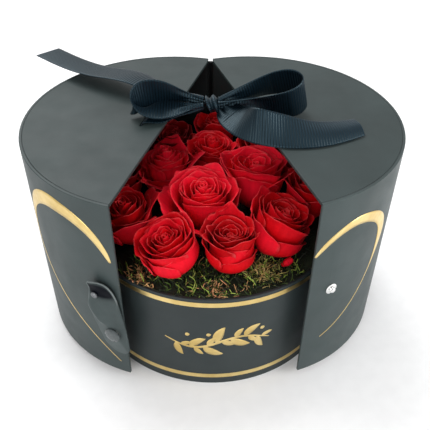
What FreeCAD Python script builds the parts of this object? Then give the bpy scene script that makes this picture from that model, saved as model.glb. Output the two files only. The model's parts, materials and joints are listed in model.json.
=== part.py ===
import FreeCAD, Part
import math
import os

import Sketcher
from FreeCAD import Placement, Rotation, Vector

# Round flower box: a short drum filled with roses, and two half-round doors hinged at its back.
# Frame: origin at the centre of the drum's base, +Z up, the doors' front seam towards -Y.
# The doors are drawn closed and placed half open, each turned about its own hinge line.
# The left half of the box is the mirror image of the right half.

SIZES = {
    "drum_radius": 106.5,  # outside of the drum wall
    "drum_height": 97.0,
    "board": 2.2,  # thickness of the wrapped board
    "liner_wall": 0.6,
    "liner_height": 84.0,
    "foam_radius": 99.0,
    "foam_height": 74.0,
    "moss_height": 15.5,
    "wrap_rounding": 0.4,  # edges where paper is wrapped over the board
    "layer_gap": 0.2,  # clearance between stacked layers inside the drum
    "foil": 0.1,
    "upper_band_foot": 89.6,
    "lower_band_foot": 7.2,
    "band_height": 4.4,
    "door_radius": 110.0,
    "door_top": 177.0,
    "door_foot": 6.0,
    "seam_half": 0.7,  # half the gap between the closed doors
    "rear_half": 1.8,  # half the gap between the walls at the hinge
    "corner_relief": 103.0,  # where the top plate's rear corner starts to be cut back
    "hinge_side": 1.6,  # hinge line, out from the middle
    "hinge_back": 110.4,  # hinge line, behind the centre
    "rest_opening": 17.5,
    "spine_half": 1.2,
    "spine_foot": 2.0,
    "spine_top": 174.5,
    "tape": 0.4,
    "tape_reach": 15.0,
    "tape_foot": 9.0,
    "tape_top": 174.0,
    "tape_bead": 0.4,
    "ribbon_width": 25.0,
    "ribbon": 0.6,
    "slot_side": 17.0,
    "slot_back": -2.0,
    "slot_length": 27.0,
    "slot_width": 2.0,
    "anchor_reach": 14.0,
    "snap_arc": 9.8,  # angle from the seam to the rivet and to the stud, in degrees
    "snap_level": 94.2,
    "shank": 1.95,
    "shank_hole": 2.0,
    "strap_standoff": 3.0,
    "strap_thick": 1.2,
    "strap_half_width": 11.5,
    "strap_corner": 9.0,
    "strap_above": 14.0,  # rivet to the strap's upper end
    "strap_below": 62.0,  # rivet to the strap's lower end
    "strap_offset": 4.0,  # rivet to the strap's middle line, towards the seam
    "strap_tilt": 9.5,
    "snap_distance": 40.0,  # rivet to the snap, along the strap
    "snap_play": 0.1,  # clearance between a snap's pieces and what they hold
    "rivet_head": 2.7,
    "rivet_collar": 2.7,  # ring that keeps the strap off the wall
    "rivet_tail": 0.7,  # how far the rivet stands out inside the wall
    "head_edge": 0.6,  # height of a head's straight side, under its dome
    "head_rise": 1.0,
    "washer_radius": 4.2,
    "washer_thick": 0.6,
    "stud_flange": 4.6,
    "stud_step": 3.6,
    "stud_neck": 1.7,
    "stud_ball": 2.2,
    "stud_height": 2.7,
    "cap_radius": 6.4,
    "cap_rise": 1.8,
    "socket_radius": 5.2,
    "socket_bore": 2.6,
    "knot_rise": 6.2,
    "knot_across": 8.0,
    "knot_deep": 11.0,
    "ribbon_lift": 0.9,  # middle of a ribbon that lies on the plate, above the plate
    "stem_radius": 2.3,
    "stem_foot": 14.0,
    "stem_head": 5.0,  # length of the green cup under a bloom
}

# Each bloom: name, place across, place back, level of its top, greatest half width, its length.
ROSES = [
    ("rose_front_left", -34.0, -75.0, 136.0, 20.0, 38.0),
    ("rose_front_middle", 10.0, -75.0, 137.0, 18.0, 38.0),
    ("rose_front_right", 50.0, -57.0, 140.0, 21.5, 40.0),
    ("rose_centre", -8.0, -35.0, 148.0, 23.5, 44.0),
    ("rose_inner_right", 33.0, -6.0, 147.0, 22.5, 43.0),
    ("rose_inner_left", -37.0, 14.0, 145.0, 20.0, 42.0),
    ("rose_left", -62.0, -42.0, 138.0, 19.5, 39.0),
    ("rose_inner_back", 0.0, 33.0, 143.0, 19.0, 41.0),
    ("rose_back_left", -33.0, 54.0, 140.0, 17.0, 39.0),
    ("rose_right", 73.0, -16.0, 139.0, 18.2, 39.0),
    ("rose_back_right", 40.0, 38.0, 141.0, 19.0, 40.0),
    ("rose_far_left", -76.0, 4.0, 138.0, 18.0, 39.0),
    ("rose_back", 4.0, 74.0, 138.0, 18.0, 39.0),
    ("rose_rear_left", -68.0, 45.0, 137.0, 16.5, 38.0),
    ("rose_rear_right", 76.0, 24.0, 137.0, 17.0, 38.0),
]

# Side of a plain bud: narrow at its cup, widest above its middle and open at the top. Each point is
# a share of the bloom's half width and of its length.
BLOOM_SIDE = [(0.42, 0.0), (0.72, 0.12), (0.9, 0.3), (1.0, 0.55), (0.93, 0.82), (0.6, 1.0)]

UP = Vector(0, 0, 1)
LOOP_STEPS = 40

doc = FreeCAD.newDocument("flower_box")
sheet = doc.addObject("Spreadsheet::Sheet", "Sizes")
subparts = []


def fill_sheet():
    for row, (alias, value) in enumerate(SIZES.items(), start=1):
        sheet.set(f"A{row}", alias)
        sheet.set(f"B{row}", str(value))
        sheet.setAlias(f"B{row}", alias)
    doc.recompute()


def size(alias):
    return float(sheet.get(alias))


def bind(item, **formulas):
    """Ties properties to the sheet: sizes are written S.alias."""
    for name, formula in formulas.items():
        path = name.replace("__", ".")
        item.setExpression(path, formula.replace("S.", "Sizes."))
    return item


def keep(item, node):
    """Names an object as a sub-part of its own."""
    item.Label = node
    subparts.append(item)
    return item


def cylinder(name, radius, height, foot=None):
    item = doc.addObject("Part::Cylinder", name)
    bind(item, Radius=radius, Height=height)
    return bind(item, Placement__Base__z=foot) if foot else item


def block(name, low, high):
    """Box between two corners, each three formulas."""
    item = doc.addObject("Part::Box", name)
    spans = [f"({b}) - ({a})" for a, b in zip(low, high)]
    bind(item, Length=spans[0], Width=spans[1], Height=spans[2])
    return bind(item, Placement__Base__x=low[0], Placement__Base__y=low[1], Placement__Base__z=low[2])


def boolean(kind, name, base, tool):
    item = doc.addObject("Part::" + kind, name)
    item.Base = base
    item.Tool = tool
    return item


def group(name, members):
    item = doc.addObject("Part::Compound", name)
    item.Links = members
    return item


def mirror(source, name):
    """The same piece on the left side of the box."""
    item = doc.addObject("Part::Mirroring", name)
    item.Source = source
    item.Normal = Vector(1, 0, 0)
    return item


def tube(name, outer, inner, height, foot):
    outside = cylinder(name + "_outside", outer, height, foot)
    inside = cylinder(name + "_inside", inner, height, foot)
    return boolean("Cut", name, outside, inside)


def turned_piece(name, outline):
    """Round piece about Z from (radius, height) points that start and end on the axis."""
    points = [Vector(radius, 0, height) for radius, height in outline]
    face = Part.Face(Part.makePolygon(points + points[:1]))
    item = doc.addObject("Part::Feature", name)
    item.Shape = face.revolve(Vector(0, 0, 0), UP, 360)
    return item


def through(points):
    """One smooth curve through points."""
    curve = Part.BSplineCurve()
    curve.interpolate([Vector(*p) for p in points])
    return curve


def sketch_on(body, name, role="XY_Plane"):
    plane = [f for f in body.Origin.OriginFeatures if f.Role == role][0]
    sketch = body.newObject("Sketcher::SketchObject", name)
    sketch.AttachmentSupport = (plane, [""])
    sketch.MapMode = "FlatFace"
    return sketch


def constrain(sketch, formula, *args):
    """Adds one dimension and ties it to the sheet."""
    index = sketch.addConstraint(Sketcher.Constraint(*args))
    sketch.setExpression(f"Constraints[{index}]", formula.replace("S.", "Sizes."))


def pad(body, sketch, length, foot="0"):
    bind(sketch, AttachmentOffset__Base__z=foot)
    feature = body.newObject("PartDesign::Pad", body.Name + "_pad")
    feature.Profile = sketch
    bind(feature, Length=length)
    body.Tip = feature
    return feature


def round_edges(body, base, radius, chosen):
    """Rounds the edges of a feature that the test chooses."""
    doc.recompute()
    names = [f"Edge{i}" for i, edge in enumerate(base.Shape.Edges, start=1) if chosen(edge.BoundBox)]
    feature = body.newObject("PartDesign::Fillet", body.Name + "_rounding")
    feature.Base = (base, names)
    bind(feature, Radius=radius)
    body.Tip = feature
    return feature


def on_top(box):
    """True for an edge that lies level at the highest level of a drum or a door."""
    return box.ZLength < 0.01 and box.ZMin > 0.9 * size("drum_height")


# --- drum and flowers -------------------------------------------------------------------------


def make_drum():
    body = doc.addObject("PartDesign::Body", "drum_wall")
    sketch = sketch_on(body, "drum_wall_outline")
    radius = size("drum_radius")
    for index, formula in enumerate(("S.drum_radius", "S.drum_radius - S.board")):
        sketch.addGeometry(Part.Circle(Vector(0, 0, 0), UP, radius - index * size("board")), False)
        sketch.addConstraint(Sketcher.Constraint("Coincident", index, 3, -1, 1))
        constrain(sketch, formula, "Radius", index, radius - index * size("board"))
    wall = pad(body, sketch, "S.drum_height")
    round_edges(body, wall, "S.wrap_rounding", on_top)
    keep(body, "drum_wall")
    inner = "S.drum_radius - S.board - S.layer_gap"
    keep(cylinder("drum_base", inner, "S.board"), "drum_base")
    for name in ("upper", "lower"):
        band = tube(name + "_band", "S.drum_radius + S.foil", "S.drum_radius", "S.band_height",
                    f"S.{name}_band_foot")
        keep(band, name + "_gold_band")


def make_filling():
    floor = "S.board + S.layer_gap"
    radius = "S.drum_radius - S.board - 2 * S.layer_gap"
    outside = cylinder("liner_outside", radius, "S.liner_height", floor)
    inside = cylinder("liner_inside", f"{radius} - S.liner_wall", "S.liner_height", f"{floor} + S.liner_wall")
    keep(boolean("Cut", "liner", outside, inside), "drum_liner")
    foam_foot = f"{floor} + S.liner_wall + S.layer_gap"
    keep(cylinder("foam", "S.foam_radius", "S.foam_height", foam_foot), "foam_brick")
    moss_radius = f"{radius} - S.liner_wall - S.layer_gap"
    moss_foot = f"{foam_foot} + S.foam_height + S.layer_gap"
    keep(cylinder("moss", moss_radius, "S.moss_height", moss_foot), "moss_bed")


def bloom(node, across, back, top, half, length):
    outline = [(0, 0)] + [(half * reach, length * rise) for reach, rise in BLOOM_SIDE] + [(0, length)]
    item = turned_piece(node, outline)
    item.Placement = Placement(Vector(across, back, top - length), Rotation())
    return keep(item, node)


def make_roses():
    stems = []
    cups = []
    for node, across, back, top, half, length in ROSES:
        bloom(node, across, back, top, half, length)
        foot = top - length
        cup = doc.addObject("Part::Cone", node + "_cup")
        bind(cup, Radius1="S.stem_radius", Radius2="S.stem_radius * 3", Height="S.stem_head - S.layer_gap")
        cup.Placement.Base = Vector(across, back, foot - size("stem_head"))
        cups.append(cup)
        stem = cylinder(node + "_stem", "S.stem_radius", f"{foot} - S.stem_head - S.layer_gap - S.stem_foot",
                        "S.stem_foot")
        stem.Placement.Base = Vector(across, back, size("stem_foot"))
        stems.append(stem)
    keep(group("stems", stems), "rose_stems")
    keep(group("cups", cups), "rose_calyxes")


# --- doors ------------------------------------------------------------------------------------


def door_rest():
    """Turns a closed right-hand piece about its hinge line to where it rests."""
    hinge = Vector(size("hinge_side"), size("hinge_back"), 0)
    return Placement(Vector(0, 0, 0), Rotation(UP, size("rest_opening")), hinge)


def snap_place():
    """Where the snap sits on the closed right door: X along the wall, Y up, Z straight out."""
    turn = math.radians(size("snap_arc"))
    outward = Vector(math.sin(turn), -math.cos(turn), 0)
    along = Vector(math.cos(turn), math.sin(turn), 0)
    spot = outward * size("door_radius") + UP * size("snap_level")
    return Placement(spot, Rotation(along, UP, outward, "XYZ"))


def keep_both(item, node):
    """Keeps a right-hand door piece, and its mirror image for the left door."""
    keep(item, "right_" + node)
    keep(mirror(item, node + "_mirrored"), "left_" + node)


def make_door_wall():
    body = doc.addObject("PartDesign::Body", "door_shell")
    sketch = sketch_on(body, "door_shell_outline")
    outer = size("door_radius")
    inner = outer - size("board")
    seam = size("seam_half")
    rear = size("rear_half")
    ends = []
    for index, radius in enumerate((outer, inner)):
        front = Vector(seam, -math.sqrt(radius**2 - seam**2), 0)
        back = Vector(rear, math.sqrt(radius**2 - rear**2), 0)
        start = math.atan2(front.y, front.x)
        end = math.atan2(back.y, back.x)
        circle = Part.Circle(Vector(0, 0, 0), UP, radius)
        sketch.addGeometry(Part.ArcOfCircle(circle, start, end), False)
        sketch.addConstraint(Sketcher.Constraint("Coincident", index, 3, -1, 1))
        ends.append((front, back))
    for side in (0, 1):
        sketch.addGeometry(Part.LineSegment(ends[0][side], ends[1][side]), False)
        sketch.addConstraint(Sketcher.Constraint("Coincident", 2 + side, 1, 0, 1 + side))
        sketch.addConstraint(Sketcher.Constraint("Coincident", 2 + side, 2, 1, 1 + side))
        sketch.addConstraint(Sketcher.Constraint("Vertical", 2 + side))
    constrain(sketch, "S.door_radius", "Radius", 0, outer)
    constrain(sketch, "S.door_radius - S.board", "Radius", 1, inner)
    constrain(sketch, "S.seam_half", "DistanceX", -1, 1, 0, 1, seam)
    constrain(sketch, "S.rear_half", "DistanceX", -1, 1, 0, 2, rear)
    shell = pad(body, sketch, "S.door_top - S.door_foot", "S.door_foot")
    round_edges(body, shell, "S.wrap_rounding",
                lambda box: on_top(box) or (box.ZLength > 1 and box.YMax < 0))
    hole = cylinder("snap_hole", "S.shank_hole", "S.board * 3")
    hole.Placement = snap_place() * Placement(Vector(0, 0, -2 * size("board")), Rotation())
    wall = boolean("Cut", "door_wall", body, hole)
    wall.Placement = door_rest()
    keep_both(wall, "door_wall")


def make_door_top():
    body = doc.addObject("PartDesign::Body", "top_plate")
    sketch = sketch_on(body, "top_plate_outline")
    radius = size("door_radius") - size("board")
    seam = size("seam_half")
    rear = size("rear_half")
    front = Vector(seam, -math.sqrt(radius**2 - seam**2), 0)
    rear_corner = Vector(rear, math.sqrt(radius**2 - rear**2), 0)
    relief = Vector(seam, size("corner_relief"), 0)
    circle = Part.Circle(Vector(0, 0, 0), UP, radius)
    turns = [math.atan2(point.y, point.x) for point in (front, rear_corner)]
    sketch.addGeometry(Part.ArcOfCircle(circle, *turns), False)
    sketch.addGeometry(Part.LineSegment(rear_corner, relief), False)
    sketch.addGeometry(Part.LineSegment(relief, front), False)
    sketch.addConstraint(Sketcher.Constraint("Coincident", 0, 3, -1, 1))
    sketch.addConstraint(Sketcher.Constraint("Coincident", 0, 2, 1, 1))
    sketch.addConstraint(Sketcher.Constraint("Coincident", 1, 2, 2, 1))
    sketch.addConstraint(Sketcher.Constraint("Coincident", 2, 2, 0, 1))
    sketch.addConstraint(Sketcher.Constraint("Vertical", 2))
    constrain(sketch, "S.door_radius - S.board", "Radius", 0, radius)
    constrain(sketch, "S.seam_half", "DistanceX", -1, 1, 0, 1, seam)
    constrain(sketch, "S.rear_half", "DistanceX", -1, 1, 0, 2, rear)
    constrain(sketch, "S.corner_relief", "DistanceY", -1, 1, 1, 2, relief.y)
    panel = pad(body, sketch, "S.board", "S.door_top - S.board")
    round_edges(body, panel, "S.wrap_rounding", lambda box: box.ZMin > size("door_top") - 0.1)
    across = ("S.slot_side - S.slot_width / 2", "S.slot_side + S.slot_width / 2")
    back = ("S.slot_back - S.slot_length / 2", "S.slot_back + S.slot_length / 2")
    levels = ("S.door_top - 2 * S.board", "S.door_top + S.board")
    slot = block("ribbon_slot", (across[0], back[0], levels[0]), (across[1], back[1], levels[1]))
    plate = boolean("Cut", "door_top", body, slot)
    plate.Placement = door_rest()
    keep_both(plate, "door_top")


def make_hinges():
    height = "S.spine_top - S.spine_foot"
    over_bands = "S.drum_radius + S.foil + S.layer_gap / 2"
    ring = tube("spine_ring", "S.door_radius", over_bands, height, "S.spine_foot")
    strip = block("spine_strip", ("-S.spine_half", "0", "S.spine_foot"),
                  ("S.spine_half", "S.door_radius + 1", "S.spine_top"))
    keep(boolean("Common", "spine", ring, strip), "hinge_spine")
    tape_height = "S.tape_top - S.tape_foot"
    sleeve = tube("tape_sleeve", "S.door_radius + S.tape", "S.door_radius", tape_height, "S.tape_foot")
    reach = block("tape_reach", ("S.hinge_side", "0", "S.tape_foot"),
                  ("S.tape_reach", "S.door_radius + 2", "S.tape_top"))
    leaf = boolean("Common", "tape_leaf", sleeve, reach)
    bead = cylinder("tape_bead", "S.tape_bead", tape_height, "S.tape_foot")
    bind(bead, Placement__Base__x="S.hinge_side", Placement__Base__y="S.hinge_back")
    tape = boolean("Fuse", "hinge_tape", leaf, bead)
    tape.Placement = door_rest()
    keep_both(tape, "hinge_tape")


def make_ribbon_anchor():
    """Ribbon end that comes down through the slot and is glued under the plate."""
    thick = "S.ribbon"
    back = ("S.slot_back - S.ribbon_width / 2", "S.slot_back + S.ribbon_width / 2")
    under = "S.door_top - S.board"
    riser = block("anchor_riser", (f"S.slot_side - {thick} / 2", back[0], f"{under} - {thick}"),
                  (f"S.slot_side + {thick} / 2", back[1], f"S.door_top + {thick} / 2"))
    flap = block("anchor_flap", (f"S.slot_side - {thick} / 2", back[0], f"{under} - {thick}"),
                 ("S.slot_side + S.anchor_reach", back[1], under))
    anchor = boolean("Fuse", "ribbon_anchor", riser, flap)
    anchor.Placement = door_rest()
    keep_both(anchor, "ribbon_anchor")


# --- snap fastening ---------------------------------------------------------------------------


def dome(radius, foot, rise, steps=5):
    """Outline points of a low dome, from its edge to its top."""
    turns = [math.pi / 2 * step / steps for step in range(steps + 1)]
    points = [(radius * math.cos(a), foot + rise * math.sin(a)) for a in turns]
    return points[:-1] + [(0, foot + rise)]


def washer(radius, inner):
    """Outline of the flat ring or disc that backs a snap inside the wall."""
    top = -size("board") - size("snap_play") * 1.5
    foot = top - size("washer_thick")
    return [(inner, foot), (radius, foot), (radius, top), (inner, top)]


def make_snap():
    right = door_rest() * snap_place()
    shank = size("shank")
    board = size("board")
    play = size("snap_play")
    standoff = size("strap_standoff")
    seat = standoff + size("strap_thick") + play
    head = size("rivet_head")
    collar = size("rivet_collar")
    tail = -board - size("rivet_tail")
    rivet = [(0, tail), (shank, tail), (shank, play), (collar, play), (collar, standoff - play),
             (shank, standoff - play), (shank, seat), (head, seat)]
    rivet += dome(head, seat + size("head_edge"), size("head_rise"))
    rivet_master = turned_piece("rivet_turned", rivet)
    rivet_master.Placement = right
    keep(mirror(rivet_master, "rivet_left"), "strap_rivet")
    ring = turned_piece("washer_turned", washer(size("washer_radius"), shank))
    ring.Placement = right
    keep(mirror(ring, "washer_left"), "rivet_washer")
    flange = size("stud_flange")
    step = size("stud_step")
    ball = size("stud_ball")
    height = size("stud_height")
    stud = [(0, -board - play), (shank, -board - play), (shank, play), (flange, play), (flange, 0.3 * height),
            (step, 0.45 * height), (ball, 0.5 * height), (size("stud_neck"), 0.8 * height)]
    stud_piece = turned_piece("stud_turned", stud + dome(ball, height, size("head_rise")))
    stud_piece.Placement = right
    keep(stud_piece, "snap_stud")
    backing = turned_piece("backing_turned", washer(size("washer_radius"), 0))
    backing.Placement = right
    keep(backing, "stud_backing")
    return right


def make_strap(right):
    """Strap that turns about its rivet, with the snap's cap outside and its socket inside."""
    tilt = Placement(Vector(0, 0, 0), Rotation(UP, -size("strap_tilt")))
    place = right * tilt
    body = doc.addObject("PartDesign::Body", "strap_panel")
    sketch = sketch_on(body, "strap_outline")
    half = size("strap_half_width")
    offset = size("strap_offset")
    corner = size("strap_corner")
    above = size("strap_above")
    below = size("strap_below")
    seam_side = -offset - half
    far_side = half - offset
    centres = [(far_side - corner, above - corner), (seam_side + corner, above - corner),
               (seam_side + corner, corner - below), (far_side - corner, corner - below)]
    for index, (x, y) in enumerate(centres):
        circle = Part.Circle(Vector(x, y, 0), UP, corner)
        start = index * math.pi / 2
        sketch.addGeometry(Part.ArcOfCircle(circle, start, start + math.pi / 2), False)
    for index in range(4):
        following = (index + 1) % 4
        start = sketch.getPoint(index, 2)
        end = sketch.getPoint(following, 1)
        sketch.addGeometry(Part.LineSegment(start, end), False)
        sketch.addConstraint(Sketcher.Constraint("Tangent", index, 2, 4 + index, 1))
        sketch.addConstraint(Sketcher.Constraint("Tangent", 4 + index, 2, following, 1))
        if index:
            sketch.addConstraint(Sketcher.Constraint("Equal", 0, index))
    sketch.addConstraint(Sketcher.Constraint("Horizontal", 4))
    constrain(sketch, "S.strap_corner", "Radius", 0, corner)
    constrain(sketch, "S.strap_half_width - S.strap_offset", "DistanceX", -1, 1, 0, 1, far_side)
    constrain(sketch, "S.strap_half_width + S.strap_offset", "DistanceX", 1, 2, -1, 1, -seam_side)
    constrain(sketch, "S.strap_above", "DistanceY", -1, 1, 0, 2, above)
    constrain(sketch, "S.strap_below", "DistanceY", 2, 2, -1, 1, below)
    pad(body, sketch, "S.strap_thick", "S.strap_standoff")
    holes = []
    for name, side, level in (("rivet_eye", "0", "0"), ("snap_eye", "-S.strap_offset", "-S.snap_distance")):
        eye = cylinder(name, "S.shank_hole", "S.strap_thick * 3", "S.strap_standoff - S.strap_thick")
        holes.append(bind(eye, Placement__Base__x=side, Placement__Base__y=level))
    strap = boolean("Cut", "strap_pierced", body, group("strap_eyes", holes))
    strap.Placement = place
    keep(mirror(strap, "strap_left"), "closing_strap")
    down = Placement(Vector(-offset, -size("snap_distance"), 0), Rotation())
    shank = size("shank")
    half_play = size("snap_play") / 2
    inside = size("strap_standoff")
    rim = inside + size("strap_thick") + half_play
    post = inside - size("strap_thick") * 0.7
    cap_radius = size("cap_radius")
    cap_outline = [(0, post), (shank, post), (shank, rim), (cap_radius, rim)]
    cap_outline += dome(cap_radius, rim + size("head_edge"), size("cap_rise"))
    cap = turned_piece("cap_turned", cap_outline)
    cap.Placement = place * down
    keep(mirror(cap, "cap_left"), "snap_cap")
    socket_radius = size("socket_radius")
    bore = size("socket_bore")
    mouth = 0.3 * inside
    neck = 0.6 * inside
    back = inside - half_play
    eye = shank + half_play
    socket = turned_piece("socket_turned", [(bore, mouth), (socket_radius, mouth), (socket_radius, back),
                                            (eye, back), (eye, neck), (bore, neck)])
    socket.Placement = place * down
    keep(mirror(socket, "socket_left"), "snap_socket")


# --- ribbon bow -------------------------------------------------------------------------------


def ribbon_strip(name, middle, width):
    """Ribbon that lies nearly flat: a strip either side of its middle line, given its thickness."""
    across = Vector(*width) * (size("ribbon_width") / 2)
    edges = [through([Vector(*p) + across * side for p in middle]).toShape() for side in (-1, 1)]
    item = doc.addObject("Part::Feature", name)
    item.Shape = Part.makeRuledSurface(*edges).extrude(UP * size("ribbon"))
    return keep(item, name)


def ribbon_loop(name, start, direction, profile):
    """Ribbon on edge as a loop: (reach, level) points, drawn out sideways to the ribbon's width."""
    run = Vector(*direction).normalize()
    side = run.cross(UP)
    width = size("ribbon_width")
    origin = Vector(*start) - side * (width / 2)
    outer = through([origin + run * reach + UP * level for reach, level in profile])
    low = outer.FirstParameter
    high = outer.LastParameter
    inner_points = []
    for step in range(LOOP_STEPS + 1):
        at = low + (high - low) * step / LOOP_STEPS
        inward = side.cross(outer.tangent(at)[0])
        inner_points.append(outer.value(at) + inward * size("ribbon"))
    inner = through(inner_points)
    edges = [outer.toShape(), inner.toShape()]
    for end in (0, -1):
        corner = outer.value((low, high)[end])
        edges.append(Part.LineSegment(corner, inner_points[end]).toShape())
    outline = Part.Wire(Part.__sortEdges__(edges))
    item = doc.addObject("Part::Feature", name)
    item.Shape = Part.Face(outline).extrude(side * width)
    return keep(item, name)


def make_bow():
    top = size("door_top")
    knot = doc.addObject("Part::Ellipsoid", "bow_knot")
    bind(knot, Radius1="S.knot_rise", Radius2="S.knot_across", Radius3="S.knot_deep")
    knot.Placement.Base = Vector(-1.8, 16.6, top + 7.5)
    keep(knot, "bow_knot")
    lie = top + size("ribbon_lift")
    ribbon_strip("ribbon_strap_left", [(-49.5, 7.4, lie), (-30, 11, lie + 1.2), (-10.5, 15, lie + 3.5)],
                 (-0.2, 0.98, 0))
    ribbon_strip("ribbon_strap_right", [(49.5, 7.4, lie), (30, 11, lie + 1.2), (7, 15.5, lie + 3.5)],
                 (0.2, 0.98, 0))
    ribbon_loop("bow_loop_left", (-9, 14, 0), (-0.978, -0.207, 0),
                [(1, 187.5), (16, 194.5), (34, 203.5), (47, 200.5), (53, 191.5), (50, 184.8), (37, 182.4),
                 (20, 183.6), (1, 185)])
    ribbon_loop("bow_loop_right", (6, 14, 0), (0.97, -0.24, 0),
                [(1, 187.5), (18, 198), (38, 209), (55, 213), (62, 205), (61, 192), (50, 184.8), (30, 182.6),
                 (12, 183.6), (1, 185)])
    ribbon_strip("ribbon_tail_left", [(-13, 24, 186.2), (-40, 42, 190.5), (-75, 62, 190), (-110, 84, 187),
                                      (-138, 101, 187)], (0.534, 0.845, 0))
    ribbon_strip("ribbon_tail_right", [(9, 5, 182.4), (30, -8, 180.4), (60, -22, lie + 0.6), (85, -20, lie),
                                       (105, -12, lie)], (0.2, 0.98, 0))


def check_and_write():
    doc.recompute()
    failed = [o.Name for o in doc.Objects if "Invalid" in o.State or "Error" in o.State]
    if failed:
        raise RuntimeError(f"objects that failed: {failed}")
    os.makedirs("parts", exist_ok=True)
    for item in subparts:
        shape = item.Shape
        if shape.isNull() or not shape.isValid() or not shape.Solids:
            raise RuntimeError(f"{item.Label} has no valid solid")
        shape.exportStep(f"parts/{item.Label}.step")
        box = shape.BoundBox
        print(f"{item.Label:22s} solids {len(shape.Solids):2d} volume {shape.Volume:10.1f}"
              f"  x {box.XMin:7.1f} {box.XMax:7.1f}  y {box.YMin:7.1f} {box.YMax:7.1f}"
              f"  z {box.ZMin:6.1f} {box.ZMax:6.1f}")


fill_sheet()
make_drum()
make_filling()
make_roses()
make_door_wall()
make_door_top()
make_hinges()
make_ribbon_anchor()
make_strap(make_snap())
make_bow()
check_and_write()
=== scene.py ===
import json
import math

import bpy
import numpy as np
from mathutils import Matrix, Vector


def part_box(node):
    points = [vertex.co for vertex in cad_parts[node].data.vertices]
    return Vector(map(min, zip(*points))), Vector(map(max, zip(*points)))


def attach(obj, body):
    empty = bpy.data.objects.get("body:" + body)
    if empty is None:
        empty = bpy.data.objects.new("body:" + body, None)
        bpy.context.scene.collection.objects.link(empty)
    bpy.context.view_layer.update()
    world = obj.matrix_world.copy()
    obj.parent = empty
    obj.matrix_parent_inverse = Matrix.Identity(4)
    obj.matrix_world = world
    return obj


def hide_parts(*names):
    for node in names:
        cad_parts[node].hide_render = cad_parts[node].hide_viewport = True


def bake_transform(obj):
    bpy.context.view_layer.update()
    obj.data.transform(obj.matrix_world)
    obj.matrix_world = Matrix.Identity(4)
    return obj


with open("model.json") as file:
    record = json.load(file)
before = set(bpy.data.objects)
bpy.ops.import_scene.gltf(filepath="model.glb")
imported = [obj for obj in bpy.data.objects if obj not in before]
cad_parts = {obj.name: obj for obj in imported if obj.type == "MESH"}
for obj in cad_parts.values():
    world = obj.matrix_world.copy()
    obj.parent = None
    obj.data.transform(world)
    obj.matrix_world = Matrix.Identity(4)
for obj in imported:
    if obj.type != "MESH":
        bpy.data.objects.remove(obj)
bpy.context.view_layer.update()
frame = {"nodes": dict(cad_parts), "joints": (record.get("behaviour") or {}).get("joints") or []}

# Meshes are worked out in millimetres in the CAD frame, and made in metres.
MM = 0.001

CAMERA_PLACE = (-0.008, -0.389, 0.409)
CAMERA_PITCH = math.radians(39.65)  # below the horizon
CAMERA_YAW = math.radians(1.5)  # towards +X
CAMERA_ROLL = math.radians(0.45)
LENS = 49.9
SENSOR = 36.0

# The soft light of the room is brightest behind and to the left.
BRIGHT_SIDE = (-0.55, 0.62, 0.56)
SKY_DIM = 0.48
SKY_BRIGHT = 0.98
# Each light: name, place, size and power. All of them aim at the middle of the box.
LIGHTS = (
    ("overhead", (-0.4, 0.7, 1.3), 1.0, 12),
    ("side", (1.2, -0.4, 0.7), 0.9, 11),
    ("front", (-0.5, -1.3, 0.75), 1.0, 8),
)
LIGHT_AIM = (0, 0, 0.1)
FLOOR_HALF = 4.0

# Sizes and joints that the frame gives, in millimetres and radians.
DRUM_HIGH = np.array(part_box("drum_wall")[1]) / MM
MOSS_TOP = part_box("moss_bed")[1].z / MM
PLATE_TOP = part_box("left_door_top")[1].z / MM
PLATE_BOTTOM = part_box("left_door_top")[0].z / MM
DRUM_RADIUS = DRUM_HIGH[0]
JOINTS = {joint["name"]: joint for joint in frame["joints"]}
HINGE = np.array(JOINTS["right_door_hinge"]["pos_m"]) / MM
REST_OPENING = -math.radians(JOINTS["right_door_hinge"]["range_deg"][0])
RIVET = np.array(JOINTS["strap_pivot"]["pos_m"]) / MM
SIDES = ((-1, "left"), (1, "right"))

DOOR_RADIUS = 110.0  # outer radius of a door's wall
BOARD = 2.2  # thickness of the board
BOARD_SHADE = (0.041, 0.057, 0.057)
# The top plates are the same board as the walls in a darker shade: painted shade against the stronger light
# from above.
TOP_BOARD_DARKENED = (0.027, 0.040, 0.040)
LINING = (0.003, 0.004, 0.006)
LINING_EDGE = 0.0002  # metres over which the lining turns into paper

RIBBON = 25.0  # width of the ribbon
RIBBON_THICK = 0.5
RIB = 2.0  # from one rib of the grosgrain to the next
WAVE_BANDS = math.pi / 10  # Scale of a wave texture whose bands are one unit apart
KNOT_LEVEL = 184.2  # height of the knot's middle
KNOT_CLEAR = 0.6  # least height of the knot's ribbon over the plates
LYING = PLATE_TOP + 0.5  # level of ribbon that lies on a plate


# --- camera, floor and light ------------------------------------------------------------------


def make_camera():
    data = bpy.data.cameras.new("camera")
    data.lens = LENS
    data.sensor_width = SENSOR
    camera = bpy.data.objects.new("camera", data)
    turn = (Matrix.Rotation(-CAMERA_YAW, 4, "Z") @ Matrix.Rotation(math.pi / 2 - CAMERA_PITCH, 4, "X")
            @ Matrix.Rotation(CAMERA_ROLL, 4, "Z"))
    camera.matrix_world = Matrix.Translation(CAMERA_PLACE) @ turn
    bpy.context.scene.collection.objects.link(camera)
    bpy.context.scene.camera = camera
    bpy.context.scene.view_settings.view_transform = "Standard"


def make_light(name, place, size, power):
    data = bpy.data.lights.new(name, "AREA")
    data.shape = "DISK"
    data.size = size
    data.energy = power
    light = bpy.data.objects.new(name, data)
    light.location = place
    light.rotation_euler = (Vector(LIGHT_AIM) - Vector(place)).to_track_quat("-Z", "Y").to_euler()
    bpy.context.scene.collection.objects.link(light)


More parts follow.
